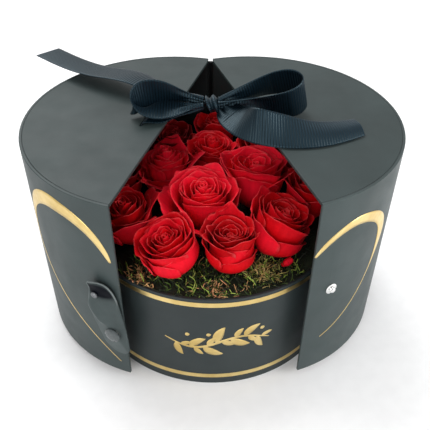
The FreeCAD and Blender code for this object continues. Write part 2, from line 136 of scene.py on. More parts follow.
def make_stage():
    world = bpy.data.worlds.new("studio")
    world.use_nodes = True
    place = add_node(world, "ShaderNodeTexCoord")
    facing = add_node(world, "ShaderNodeVectorMath")
    facing.operation = "DOT_PRODUCT"
    facing.inputs[1].default_value = BRIGHT_SIDE
    link(world, place, "Generated", facing, 0)
    shades = ramp(world, facing, "Value", [(0.0, SKY_DIM), (1.0, SKY_BRIGHT)])
    link(world, shades, "Color", world.node_tree.nodes["Background"], "Color")
    bpy.context.scene.world = world
    for light in LIGHTS:
        make_light(*light)
    corners = np.array([(-1, -1, 0), (1, -1, 0), (1, 1, 0), (-1, 1, 0)]) * FLOOR_HALF / MM
    floor = make_mesh("floor", corners, [(0, 1, 2, 3)])
    material, shader = new_material("pale_floor", (0.93, 0.93, 0.935), 0.6)
    speckle(material, shader, 90, (0.915, 0.915, 0.92), (0.945, 0.945, 0.95))
    floor.data.materials.append(material)


# --- materials --------------------------------------------------------------------------------


def new_material(name, color, roughness, **sockets):
    """Material with one Principled shader. Sockets are named with _ for a space."""
    material = bpy.data.materials.new(name)
    material.use_nodes = True
    shader = material.node_tree.nodes["Principled BSDF"]
    shader.inputs["Base Color"].default_value = (*color, 1.0)
    shader.inputs["Roughness"].default_value = roughness
    for socket, value in sockets.items():
        shader.inputs[socket.replace("_", " ")].default_value = value
    return material, shader


def add_node(material, kind, **inputs):
    """New node in a material or a world, with its plain inputs."""
    node = material.node_tree.nodes.new(kind)
    for name, value in inputs.items():
        node.inputs[name.replace("_", " ")].default_value = value
    return node


def link(material, source, output, target, socket):
    material.node_tree.links.new(source.outputs[output], target.inputs[socket])


def mesh_attribute(material, name):
    node = add_node(material, "ShaderNodeAttribute")
    node.attribute_name = name
    return node


def coordinates(material, squeeze=(1, 1, 1), attribute=None):
    """Place on the piece in metres, or an attribute of its mesh, stretched along each axis."""
    if attribute:
        source = mesh_attribute(material, attribute)
        output = "Vector"
    else:
        source = add_node(material, "ShaderNodeTexCoord")
        output = "Object"
    mapping = add_node(material, "ShaderNodeMapping", Scale=squeeze)
    link(material, source, output, mapping, "Vector")
    return mapping


def split(material, source):
    """X, Y and Z of a node's vector."""
    node = add_node(material, "ShaderNodeSeparateXYZ")
    link(material, source, "Vector", node, "Vector")
    return node


def noise(material, scale, detail=4, squeeze=(1, 1, 1), attribute=None):
    texture = add_node(material, "ShaderNodeTexNoise", Scale=scale, Detail=detail)
    link(material, coordinates(material, squeeze, attribute), "Vector", texture, "Vector")
    return texture


def ramp(material, source, output, stops):
    """Colour ramp over a value: stops are (place, colour or grey)."""
    node = add_node(material, "ShaderNodeValToRGB")
    link(material, source, output, node, "Fac")
    elements = node.color_ramp.elements
    while len(elements) < len(stops):
        elements.new(0.5)
    for element, (place, color) in zip(elements, stops):
        element.position = place
        shade = color if isinstance(color, tuple) else (color,) * 3
        element.color = (*shade, 1.0)
    return node


def mix(material, kind, factor, first, second):
    """Mix of two colours. Factor, first and second are numbers, colours or (node, output) pairs."""
    node = add_node(material, "ShaderNodeMix")
    node.data_type = "RGBA"
    node.blend_type = kind
    for socket, value in ((0, factor), (6, first), (7, second)):
        if isinstance(value, tuple) and hasattr(value[0], "outputs"):
            material.node_tree.links.new(value[0].outputs[value[1]], node.inputs[socket])
        else:
            node.inputs[socket].default_value = (*value, 1.0) if isinstance(value, tuple) else value
    return node


def bump(material, shader, source, output, strength, distance):
    node = add_node(material, "ShaderNodeBump", Strength=strength, Distance=distance)
    link(material, source, output, node, "Height")
    previous = shader.inputs["Normal"].links
    if previous:
        material.node_tree.links.new(previous[0].from_socket, node.inputs["Normal"])
    link(material, node, "Normal", shader, "Normal")


def grain(material, shader, scale, detail, strength, distance):
    """Bump that follows noise."""
    bump(material, shader, noise(material, scale, detail), "Fac", strength, distance)


def speckle(material, shader, scale, low, high):
    """Lets the colour wander between two shades."""
    texture = noise(material, scale)
    shades = ramp(material, texture, "Fac", [(0.32, low), (0.68, high)])
    link(material, shades, "Color", shader, "Base Color")
    return shades


def rough_from_noise(material, shader, scale, low, high):
    texture = noise(material, scale)
    shades = ramp(material, texture, "Fac", [(0.3, low), (0.7, high)])
    link(material, shades, "Color", shader, "Roughness")


def board_material(name, shade, centre=None, reach=None, floor=None):
    """Board wrapped in matt paper: faint grain, slow shade changes and a little dust. It is lined
    with black on the inner side: nearer than reach to an upright axis, or below the floor level."""
    material, shader = new_material(name, shade, 0.5, Specular_IOR_Level=0.3)
    low = tuple(0.9 * c for c in shade)
    high = tuple(1.1 * c for c in shade)
    shades = speckle(material, shader, 26, low, high)
    spots = add_node(material, "ShaderNodeTexVoronoi", Scale=34.0)
    link(material, coordinates(material), "Vector", spots, "Vector")
    near = ramp(material, spots, "Distance", [(0.0, 1.0), (0.028, 0.0)])
    chance = ramp(material, noise(material, 11), "Fac", [(0.55, 0.0), (0.62, 0.4)])
    both = mix(material, "MULTIPLY", 1.0, (near, "Color"), (chance, "Color"))
    dusty = mix(material, "MIX", (both, 2), (shades, "Color"), (0.3, 0.32, 0.32))
    if reach:
        place = coordinates(material, (1, 1, 0))
        place.inputs["Location"].default_value = (-centre[0] * MM, -centre[1] * MM, 0)
        away = add_node(material, "ShaderNodeVectorMath")
        away.operation = "LENGTH"
        link(material, place, "Vector", away, 0)
        outer = ramp(material, away, "Value", [(reach * MM, 0.0), (reach * MM + LINING_EDGE, 1.0)])
    else:
        parts = split(material, coordinates(material))
        outer = ramp(material, parts, "Z", [(floor * MM, 0.0), (floor * MM + LINING_EDGE, 1.0)])
    lined = mix(material, "MIX", (outer, "Color"), LINING, (dusty, 2))
    link(material, lined, 2, shader, "Base Color")
    rough_from_noise(material, shader, 60, 0.46, 0.56)
    grain(material, shader, 2200, 3, 0.22, 0.00008)
    grain(material, shader, 60, 2, 0.12, 0.0004)
    return material


def foil_material():
    material, shader = new_material("gold_foil_print", (0.72, 0.54, 0.22), 0.34, Metallic=1.0)
    speckle(material, shader, 55, (0.64, 0.46, 0.16), (0.84, 0.65, 0.29))
    rough_from_noise(material, shader, 300, 0.28, 0.44)
    grain(material, shader, 1500, 3, 0.2, 0.00006)
    return material


def ribbon_material():
    """Black grosgrain: a satin thread that catches the light along its ribs. Its colour is striped rib by
    rib, with painted shade between the ribs and a painted highlight on them.
    """
    material, shader = new_material("grosgrain", (0.008, 0.014, 0.018), 0.38, Sheen_Weight=0.05,
                                    Sheen_Roughness=0.3, Sheen_Tint=(0.5, 0.7, 0.82, 1.0),
                                    Specular_IOR_Level=0.42, Specular_Tint=(0.55, 0.85, 1.0, 1.0))
    shades = speckle(material, shader, 500, (0.002, 0.006, 0.010), (0.003, 0.008, 0.013))
    # Painted shade and highlight: a wave, one band to a rib, takes the colour down to a fifth between the
    # ribs and up to twice on them.
    rib = add_node(material, "ShaderNodeTexWave", Scale=WAVE_BANDS / (RIB * MM))
    rib.bands_direction = "X"
    link(material, coordinates(material, attribute="weave"), "Vector", rib, "Vector")
    rib_shade_and_highlight = ramp(material, rib, "Fac", [(0.0, 0.2), (1.0, 2.0)])
    rib_striped = mix(material, "MULTIPLY", 1.0, (shades, "Color"), (rib_shade_and_highlight, "Color"))
    link(material, rib_striped, 2, shader, "Base Color")
    rough_from_noise(material, shader, 900, 0.32, 0.43)
    threads = noise(material, 1.0, 2, (4000, 260, 1), "weave")
    bump(material, shader, threads, "Fac", 0.35, 0.00008)
    return material


def petal_material():
    """Velvety red petal. petal.x runs across it, petal.y up it; look.x is its tone, where low tone is
    painted shade, look.y its edge, where a pale painted highlight goes.
    """
    material, shader = new_material("rose_petal", (0.7, 0.005, 0.011), 0.55, Sheen_Weight=0.06,
                                    Sheen_Roughness=0.4, Sheen_Tint=(1.0, 0.12, 0.16, 1.0),
                                    Specular_IOR_Level=0.14, Specular_Tint=(1.0, 0.3, 0.34, 1.0))
    parts = split(material, mesh_attribute(material, "look"))
    # Low tone is painted shade: dark maroon for the parts deep in the bloom.
    tone = ramp(material, parts, "X", [(0.0, (0.2, 0.001, 0.003)), (0.45, (0.66, 0.003, 0.007)),
                                       (1.0, (0.92, 0.010, 0.032))])
    veins = noise(material, 1.0, 4, (7, 1.2, 1), "petal")
    streaks = ramp(material, veins, "Fac", [(0.3, 0.8), (0.7, 1.0)])
    veined = mix(material, "MULTIPLY", 0.8, (tone, "Color"), (streaks, "Color"))
    uneven = noise(material, 160, 2)
    # Painted highlight: a pale red along the lip, in patches.
    lip = ramp(material, parts, "Y", [(0.0, 0.0), (1.0, 0.7)])
    patches = ramp(material, uneven, "Fac", [(0.4, 0.1), (0.62, 1.0)])
    thinned = mix(material, "MULTIPLY", 1.0, (lip, "Color"), (patches, "Color"))
    highlighted = mix(material, "MIX", (thinned, 2), (veined, 2), (0.8, 0.085, 0.09))
    link(material, highlighted, 2, shader, "Base Color")
    rough_from_noise(material, shader, 700, 0.46, 0.62)
    bump(material, shader, veins, "Fac", 0.2, 0.0003)
    grain(material, shader, 2500, 2, 0.12, 0.0001)
    return material


def color_by_tint(material, shader, stops, scale, mottling, share):
    """Base colour that the mesh's tint attribute picks from the stops, with some mottling."""
    shades = ramp(material, mesh_attribute(material, "tint"), "Fac", stops)
    mottle = ramp(material, noise(material, scale), "Fac", mottling)
    mixed = mix(material, "MULTIPLY", share, (shades, "Color"), (mottle, "Color"))
    link(material, mixed, 2, shader, "Base Color")


def moss_material():
    """Plant fibre: dark green, light green, dry and brown, as its tint grows."""
    material, shader = new_material("moss_fibre", (0.1, 0.12, 0.03), 0.8)
    stops = [(0.0, (0.004, 0.006, 0.003)), (0.3, (0.02, 0.032, 0.009)), (0.5, (0.09, 0.17, 0.02)),
             (0.68, (0.5, 0.72, 0.11)), (0.8, (0.85, 0.66, 0.24)), (1.0, (0.95, 0.46, 0.22))]
    color_by_tint(material, shader, stops, 500, [(0.25, 0.55), (0.75, 1.0)], 0.9)
    grain(material, shader, 1500, 4, 0.5, 0.0003)
    return material


def strap_material():
    """Coated cloth. Its tint is 0 in the dip round the rivet, where the near black is painted shade, and 1
    along the edge; a little over 0.5 on the flank below the rivet is painted light.
    """
    material, shader = new_material("coated_strap", STRAP_SHADE, 0.5, Specular_IOR_Level=0.04)
    # Tint 0 is a painted shade, near black; the middle stop is the strap's own colour.
    stops = [(0.0, (0.001, 0.002, 0.005)), (0.5, STRAP_SHADE), (1.0, (0.2, 0.225, 0.225))]
    color_by_tint(material, shader, stops, 120, [(0.3, 0.85), (0.7, 1.0)], 1.0)
    rough_from_noise(material, shader, 200, 0.4, 0.52)
    grain(material, shader, 1800, 3, 0.3, 0.00012)
    return material


def grained_material(name, low, high, roughness, scale, depth, **sockets):
    """Plain colour with mottling and grain of one scale."""
    material, shader = new_material(name, low, roughness, **sockets)
    speckle(material, shader, scale, low, high)
    rough_from_noise(material, shader, scale * 2, roughness * 0.85, min(1.0, roughness * 1.15))
    grain(material, shader, scale * 3, 4, 0.4, depth)
    return material


# --- mesh helpers -----------------------------------------------------------------------------


def make_mesh(name, points, faces, **marks):
    """Object from points in millimetres. Marks are values for each point, kept as attributes."""
    mesh = bpy.data.meshes.new(name)
    mesh.from_pydata((np.asarray(points) * MM).tolist(), [], [tuple(int(i) for i in f) for f in faces])
    mesh.update()
    for mark, values in marks.items():
        values = np.asarray(values, np.float32)
        if values.ndim == 1:
            mesh.attributes.new(mark, "FLOAT", "POINT").data.foreach_set("value", values)
        else:
            mesh.attributes.new(mark, "FLOAT_VECTOR", "POINT").data.foreach_set("vector", values.ravel())
    mesh.polygons.foreach_set("use_smooth", [True] * len(mesh.polygons))
    piece = bpy.data.objects.new(name, mesh)
    bpy.context.scene.collection.objects.link(piece)
    return piece


def finish_piece(piece, body, slot, material, *replaced):
    piece.data.materials.append(material)
    if body:
        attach(piece, body)
    if replaced:
        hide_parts(*replaced)
    return piece


def unit(vectors):
    return vectors / np.maximum(np.linalg.norm(vectors, axis=-1, keepdims=True), 1e-9)


def grid_normals(grid):
    return unit(np.cross(np.gradient(grid, axis=1), np.gradient(grid, axis=0)))


def sheet_faces(rows, cols):
    """Quads of a closed thin sheet: its front grid, its back grid and the rim between them."""
    index = np.arange(rows * cols).reshape(rows, cols)
    corners = [index[:-1, :-1], index[:-1, 1:], index[1:, 1:], index[1:, :-1]]
    front = np.stack(corners, -1).reshape(-1, 4)
    count = rows * cols
    ring = np.concatenate([index[0, :-1], index[:-1, -1], index[-1, :0:-1], index[:0:-1, 0]])
    following = np.roll(ring, -1)
    rim = np.stack([following, ring, ring + count, following + count], -1)
    return np.concatenate([front, front[:, ::-1] + count, rim])


class Pile:
    """Collects closed shells into one mesh."""

    def __init__(self):
        self.points = []
        self.faces = []
        self.marks = {}
        self.count = 0

    def add(self, points, faces, **marks):
        self.points.append(points)
        self.faces.extend((np.asarray(faces) + self.count).tolist())
        self.count += len(points)
        for mark, values in marks.items():
            self.marks.setdefault(mark, []).append(values)

    def add_sheet(self, grid, thick, **marks):
        """A grid of points given its thickness. Marks are grids too."""
        rows, cols = grid.shape[:2]
        offset = grid_normals(grid) * (thick / 2)
        points = np.concatenate([(grid + offset).reshape(-1, 3), (grid - offset).reshape(-1, 3)])
        flat = {}
        for mark, values in marks.items():
            values = np.asarray(values, float)
            values = values.reshape(rows * cols, *values.shape[2:])
            flat[mark] = np.concatenate([values, values])
        self.add(points, sheet_faces(rows, cols), **flat)

    def build(self, name):
        marks = {mark: np.concatenate(values) for mark, values in self.marks.items()}
        return make_mesh(name, np.concatenate(self.points), self.faces, **marks)


def sheet_piece(name, grid, thick, **marks):
    """Object that is one thin sheet."""
    pile = Pile()
    pile.add_sheet(grid, thick, **marks)
    return pile.build(name)


def spline(points, count):
    """Count points evenly spaced along a smooth curve through the given ones."""
    points = np.asarray(points, float)
    steps = np.linalg.norm(np.diff(points[:, :3], axis=0), axis=1)
    knots = np.concatenate([[0], np.cumsum(np.maximum(steps, 1e-6))])
    total = len(points)
    system = np.zeros((total, total))
    target = np.zeros(points.shape)
    system[0, 0] = system[-1, -1] = 1
    for i in range(1, total - 1):
        before = knots[i] - knots[i - 1]
        after = knots[i + 1] - knots[i]
        system[i, i - 1:i + 2] = before, 2 * (before + after), after
        target[i] = 6 * ((points[i + 1] - points[i]) / after - (points[i] - points[i - 1]) / before)
    bend = np.linalg.solve(system, target)
    at = np.linspace(0, knots[-1], 24 * total)
    span = np.clip(np.searchsorted(knots, at, side="right") - 1, 0, total - 2)
    width = (knots[span + 1] - knots[span])[:, None]
    left = (knots[span + 1] - at)[:, None] / width
    right = (at - knots[span])[:, None] / width
    line = (left * points[span] + right * points[span + 1]
            + ((left**3 - left) * bend[span] + (right**3 - right) * bend[span + 1]) * width**2 / 6)
    lengths = np.linalg.norm(np.diff(line[:, :3], axis=0), axis=1)
    along = np.concatenate([[0], np.cumsum(lengths)])
    even = np.linspace(0, along[-1], count)
    return np.stack([np.interp(even, along, line[:, k]) for k in range(points.shape[1])], 1)


def smooth_step(value):
    value = np.clip(value, 0, 1)
    return value * value * (3 - 2 * value)


def turned(points, angle, centre=(0.0, 0.0)):
    """Points turned about a vertical line."""
    c, s = math.cos(angle), math.sin(angle)
    moved = np.array(points, float)
    x = moved[..., 0] - centre[0]
    y = moved[..., 1] - centre[1]
    moved[..., 0] = c * x - s * y + centre[0]
    moved[..., 1] = s * x + c * y + centre[1]
    return moved


def door_rest(points, side):
    """Points of a closed door (side 1 right, -1 left, both given as on the right) where it rests."""
    placed = turned(points, REST_OPENING, HINGE[:2])
    placed[..., 0] *= side
    return placed


# --- roses ------------------------------------------------------------------------------------

# Each rose: rings of petals, how far the face opens, how far the heart sinks or, if negative, rises
# (mm), lean to the front and to the right (degrees), step of its foot to the right (mm), tone, and
# the guard petals: direction (degrees from the front, towards the right), half width (degrees),
# height as a share of the bloom, flare, pointed tip (mm) and girth. The tone is painted light:
# higher for a rose that stands in more light, lower for one in shade or hidden.
PLAIN_GUARDS = [(-60, 85, 0.8, 0.02, 1, 1), (70, 80, 0.76, 0.06, 1, 1), (180, 85, 0.86, 0.04, 1, 1)]
ROSES = {
    "rose_front_left": (6, 0.86, 2, 3, -13, 6.5, 0.6, [
        (52, 74, 0.76, -0.08, 1.5, 0.99), (-38, 58, 0.66, -0.06, 1, 0.93),
        (-115, 75, 0.76, 0.0, 2, 0.96), (130, 75, 0.92, 0.03, 4, 1)]),
    "rose_front_middle": (6, 0.84, 7, -4, 0, 1.0, 0.3, [
        (34, 70, 0.5, -0.06, 3, 0.98), (-78, 58, 0.72, 0.02, 4, 0.98),
        (100, 70, 0.78, -0.04, 2, 0.98), (-8, 75, 0.76, -0.1, 1, 0.9),
        (172, 44, 1.1, 0.02, 5, 0.94), (-150, 40, 1.0, 0.04, 4, 0.94)]),
    "rose_front_right": (6, 0.86, 3, -6, 19, -9.0, 0.5, [
        (-62, 62, 0.7, 0.0, 4, 0.99), (20, 66, 0.58, 0.0, 4, 0.98), (105, 70, 0.66, 0.0, 2, 0.98),
        (-140, 60, 0.94, 0.08, 5, 1)]),
    "rose_centre": (7, 0.84, -2, 2, 0, 0, 1.0, [
        (-32, 44, 0.62, 0.34, 6, 1), (30, 42, 0.56, 0.3, 6, 1), (-88, 46, 0.74, 0.3, 6, 1),
        (95, 44, 0.72, 0.16, 4, 0.96), (160, 46, 0.93, 0.14, 3.5, 0.94),
        (-165, 40, 0.9, 0.1, 3, 0.92), (-140, 44, 0.84, 0.14, 4, 0.94)]),
    "rose_inner_right": (5, 0.92, 5, -9, 1, 0, 1.05, [
        (-10, 58, 0.8, 0.1, 4, 0.98), (60, 52, 0.78, 0.26, 6, 0.98), (-95, 56, 0.96, 0.12, 5, 0.95),
        (150, 70, 0.98, 0.06, 4, 0.98)]),
    "rose_inner_left": (6, 0.74, -8, -6, -2, 0, 1.1, [
        (5, 70, 0.55, 0.1, 3, 1), (75, 48, 0.84, 0.4, 8, 1), (-90, 55, 0.62, 0.12, 3, 1),
        (165, 50, 0.9, 0.16, 6, 0.96), (-40, 46, 0.5, 0.34, 4, 0.98)]),
    "rose_left": (5, 0.85, -3, 2, -10, 0, 0.45, [
        (20, 56, 0.86, 0.25, 6, 1), (95, 50, 0.98, 0.28, 8, 1), (-90, 80, 0.8, 0.1, 3, 1)]),
    "rose_inner_back": (5, 0.82, -3, 0, 0, 0, 0.6, PLAIN_GUARDS),
    "rose_right": (5, 0.85, 2, 0, 8, 0, 0.45, [
        (-60, 56, 0.92, 0.2, 6, 1), (20, 60, 0.8, 0.15, 4, 1), (120, 80, 0.85, 0.1, 2, 1)]),
    "rose_back_right": (5, 0.85, 3, 2, 4, 0, 0.35, PLAIN_GUARDS),
    "rose_back_left": (5, 0.8, 3, 2, 0, 0, 0.0, PLAIN_GUARDS),
    "rose_back": (4, 0.62, 4, -6, 0, 0, 0.4, [
        (5, 60, 0.98, 0.04, 5, 0.9), (120, 70, 0.9, 0.05, 3, 0.9), (-120, 70, 0.9, 0.05, 3, 0.9)]),
}
HIDDEN_ROSE = (5, 0.84, 3, 2, 0, 0, 0.15, PLAIN_GUARDS)
PETAL_THICK = 0.26
FOOT_WIDTH = 0.42  # width of a bloom at its foot, as a share of its greatest
HEART_WIDTH = 0.17  # width of the innermost ring, likewise
# Heights of a petal's rows, as shares: close together at the lip, for its thin pale edge, which is a
# painted highlight.
PETAL_ROWS = np.array([0, 0.14, 0.28, 0.42, 0.56, 0.68, 0.78, 0.86, 0.92, 0.96, 0.985, 1.0])


def petal_grid(rng, radius, half_turn, foot, top, flare, *, curl, ruffle, direction, cols, droop=0.12,
               tip=0.0, spiral=0.07):
    """Grid of one petal that wraps the axis of its bloom, and its marks."""
    u = np.linspace(-1, 1, cols)[None, :]
    v = PETAL_ROWS[:, None]
    upper = np.clip((v - 0.55) / 0.45, 0, 1)
    lip = np.clip((v - 0.78) / 0.22, 0, 1)
    swell = FOOT_WIDTH + (1 - FOOT_WIDTH) * np.sin(math.pi / 2 * np.minimum(v / 0.6, 1))
    waves = [sum(rng.uniform(0.4, 1.0) * np.sin(k * math.pi * u + rng.uniform(0, 2 * math.pi))
                 for k in (0.9, 1.7, 2.9)) / 1.6 for _ in range(2)]
    reach = radius * swell * (1 + spiral * u) * (1 + flare * upper**2)
    reach = reach + curl * lip**2 * (1 + 0.4 * waves[1]) + ruffle * waves[0] * v**3
    level = foot + (top - foot) * v * (1 - droop * v * np.abs(u) ** 2.4)
    level = level - 0.4 * curl * lip**3 + ruffle * 1.6 * waves[1] * v**4
    point = np.exp(-np.abs((u - rng.uniform(-0.25, 0.25)) / 0.24) ** 1.5) * upper**2
    level = level + tip * point * 0.55
    reach = reach + tip * point * 0.5
    breadth = half_turn * (0.5 + 0.5 * np.sin(math.pi / 2 * np.minimum(v / 0.5, 1))) * (1 - 0.16 * upper**3)
    angle = direction + breadth * u
    grid = np.stack([reach * np.sin(angle), -reach * np.cos(angle), level], -1)
    return grid, u + 0 * v, v + 0 * u


def petal_marks(rng, u, v, tone):
    """Tone, which falls towards the foot as painted shade, and edge lightness, a painted highlight, and the
    petal's own coordinates.
    """
    edge = np.clip(np.maximum((v - 0.96) / 0.04, (np.abs(u) - 0.93) / 0.07 * (v > 0.6)), 0, 1)
    # Painted shade: the tone drops towards the petal's foot, deep in the bloom.
    depth = tone + rng.uniform(-0.14, 0.14) - 0.5 * (1 - v) ** 1.5 + 0.05 * np.sin(3 * u)
    look = np.stack([np.clip(depth, 0, 1), edge, 0 * u], -1)
    place = np.stack([u, v + rng.uniform(0, 50), 0 * u], -1)
    return {"look": look, "petal": place}


def add_guards(pile, rng, guards, widest, length, tone):
    """Outer petals, each at its own place."""
    for direction, half_width, share, flare, tip, girth in guards:
        grid, u, v = petal_grid(rng, widest * girth, math.radians(half_width), 0, length * share,
                                flare, curl=1.5, ruffle=0.6, droop=0.2, tip=tip,
                                direction=math.radians(direction), cols=19)
        # The guard petals take 0.3 more tone than the rings: painted light on the outside of the bloom.
        pile.add_sheet(grid, PETAL_THICK * 1.5, **petal_marks(rng, u, v, tone + 0.3))


def add_rings(pile, rng, rings, face, dip, widest, length, tone):
    """Rings of petals, from the outer one inwards, each petal a little out of place."""
    for ring in range(rings):
        inward = ring / (rings - 1)
        radius = widest * (face * (1 - inward) ** 1.1 + HEART_WIDTH * inward**0.9)
        count = 3 if ring else 4
        top = length + min(dip, 0) - dip * inward**1.4 - (1.8 if ring == 0 else 0)
        start = rng.uniform(0, 2 * math.pi)
        for k in range(count):
            turn = start + 2 * math.pi * (k + rng.uniform(-0.12, 0.12)) / count
            opening = 0.14 * (1 - inward) - 0.12 * inward
            spread = math.pi / count * rng.uniform(1.15, 1.7)
            grid, u, v = petal_grid(rng, radius * rng.uniform(0.93, 1.06), spread, 2.0,
                                    top - rng.uniform(0, 2.4), opening + rng.uniform(-0.04, 0.06),
                                    curl=rng.uniform(0.8, 2.2) * (1 - 0.7 * inward), ruffle=0.55,
                                    spiral=0.1, tip=rng.uniform(0.5, 4.0) * (1 - inward),
                                    direction=turn, cols=15 if ring < 3 else 11)
            pile.add_sheet(grid, PETAL_THICK, **petal_marks(rng, u, v, tone))


def add_heart(pile, rng, dip, widest, length, tone):
    """Coiled petal in the middle."""
    turns = np.linspace(0, 2 * math.pi * 1.6, 34)[None, :]
    v = PETAL_ROWS[::2][:, None]
    reach = widest * (0.035 + 0.10 * turns / turns.max()) * (0.8 + 0.35 * v)
    level = 4 + (length - max(dip, 0) - 5.0 + 0.5 * np.sin(turns * 1.7)) * v
    coil = np.stack([reach * np.sin(turns), -reach * np.cos(turns), level], -1)
    across = turns / turns.max() * 1.7 - 0.85 + 0 * v
    pile.add_sheet(coil, PETAL_THICK, **petal_marks(rng, across, v + 0 * turns, tone))


def make_rose(name, number, material):
    rings, face, dip, to_front, to_right, step, tone, guards = ROSES.get(name, HIDDEN_ROSE)
    rng = np.random.default_rng(400 + number)
    low, high = (np.array(corner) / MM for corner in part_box(name))
    length = high[2] - low[2]
    widest = (high[0] - low[0]) / 2
    pile = Pile()
    add_guards(pile, rng, guards, widest, length, tone)
    add_rings(pile, rng, rings, face, dip, widest, length, tone)
    add_heart(pile, rng, dip, widest, length, tone)
    rose = pile.build(name + "_petals")
    lean = Matrix.Rotation(math.radians(to_front), 4, "X") @ Matrix.Rotation(math.radians(to_right), 4, "Y")
    foot = Vector(((low[0] + high[0]) / 2 + step, (low[1] + high[1]) / 2, low[2])) * MM
    rose.data.transform(Matrix.Translation(foot) @ lean)
    finish_piece(rose, "root", "red_petal", material, name)


def make_roses():
    material = petal_material()
    greenery = ("rose_stems", "rose_calyxes")
    names = [name for name in frame["nodes"] if name.startswith("rose_") and name not in greenery]
    for number, name in enumerate(sorted(names)):
        make_rose(name, number, material)


# --- moss -------------------------------------------------------------------------------------

WALL_CLEAR = 1.2  # between the moss and the drum's wall
DOOR_CLEAR = 1.3  # between the moss and the closed doors' walls
SKIRT = 8  # depth of the moss bed under its surface
STRAND_STEPS = 7


def strand(pile, line, thick, tint):
    """Three-sided fibre along a line, thin at both ends."""
    count = len(line)
    along = unit(np.gradient(line, axis=0))
    side = unit(np.cross(along, (0.31, 0.52, 0.79)))
    other = np.cross(along, side)
    girth = thick / 2 * np.sin(np.linspace(0.35, math.pi - 0.25, count)) ** 0.6
    corners = []
    for k in range(3):
        turn = 2 * math.pi * k / 3
        corners.append(line + girth[:, None] * (math.cos(turn) * side + math.sin(turn) * other))
    points = np.stack(corners, 1).reshape(-1, 3)
    faces = []
    for i in range(count - 1):
        for k in range(3):
            a, b = 3 * i + k, 3 * i + (k + 1) % 3
            faces.append((a, b, b + 3, a + 3))
    last = 3 * (count - 1)
    pile.add(points, faces, tint=np.full(len(points), tint))
    first = pile.count - len(points)
    for end in ((2, 1, 0), (last, last + 1, last + 2)):
        pile.faces.append([first + i for i in end])


def wander(rng, start, heading, length, bend):
    """Line that starts out along a heading and keeps turning a little."""
    points = [np.array(start, float)]
    direction = unit(np.array(heading, float))
    turn = rng.normal(0, bend, 3)
    for _ in range(STRAND_STEPS):
        turn = turn + rng.normal(0, bend * 0.6, 3)
        direction = unit(direction + turn / STRAND_STEPS)
        points.append(points[-1] + direction * length / STRAND_STEPS)
    return np.array(points)


def in_drum(points, inner):
    """Keeps points inside the drum's wall, and clear of the closed doors above its rim."""
    reach = np.hypot(points[:, 0], points[:, 1])
    limit = np.where(points[:, 2] < DRUM_HIGH[2] + 1.0, inner, DOOR_RADIUS - BOARD - DOOR_CLEAR)
    points[:, :2] *= np.minimum(limit / np.maximum(reach, 1e-6), 1)[:, None]
    points[:, 2] = np.maximum(points[:, 2], MOSS_TOP - 1.5)
    return points


def make_moss_ground(rng, inner):
    """Lumpy dark bed that the strands grow from: a closed mound."""
    rings, spokes = 26, 96
    phases = rng.uniform(0, 2 * math.pi, (6, 2))
    waves = rng.uniform(0.06, 0.28, (6, 2)) * rng.choice([-1, 1], (6, 2))
    points, faces = [], []
    for i in range(1, rings + 1):
        for k in range(spokes):
            turn = 2 * math.pi * k / spokes
            x = inner * i / rings * math.cos(turn)
            y = inner * i / rings * math.sin(turn)
            lump = sum(math.sin(x * wave[0] + phase[0]) * math.cos(y * wave[1] + phase[1])
                       for wave, phase in zip(waves, phases))
            points.append((x, y, MOSS_TOP + 0.8 + 0.7 * lump))
    for i in range(rings - 1):
        for k in range(spokes):
            a, b = i * spokes + k, i * spokes + (k + 1) % spokes
            faces.append((a, a + spokes, b + spokes, b))
    top = len(points)
    points.append((0, 0, MOSS_TOP + 1))
    faces += [(top, k, (k + 1) % spokes) for k in range(spokes)]
    rim = (rings - 1) * spokes
    skirt = len(points)
    points += [(points[rim + k][0], points[rim + k][1], MOSS_TOP - SKIRT) for k in range(spokes)]
    for k in range(spokes):
        following = (k + 1) % spokes
        faces.append((rim + k, skirt + k, skirt + following, rim + following))
    points.append((0, 0, MOSS_TOP - SKIRT))
    faces += [(len(points) - 1, skirt + (k + 1) % spokes, skirt + k) for k in range(spokes)]
    return make_mesh("moss_ground", points, faces, tint=rng.uniform(0, 0.25, len(points)))


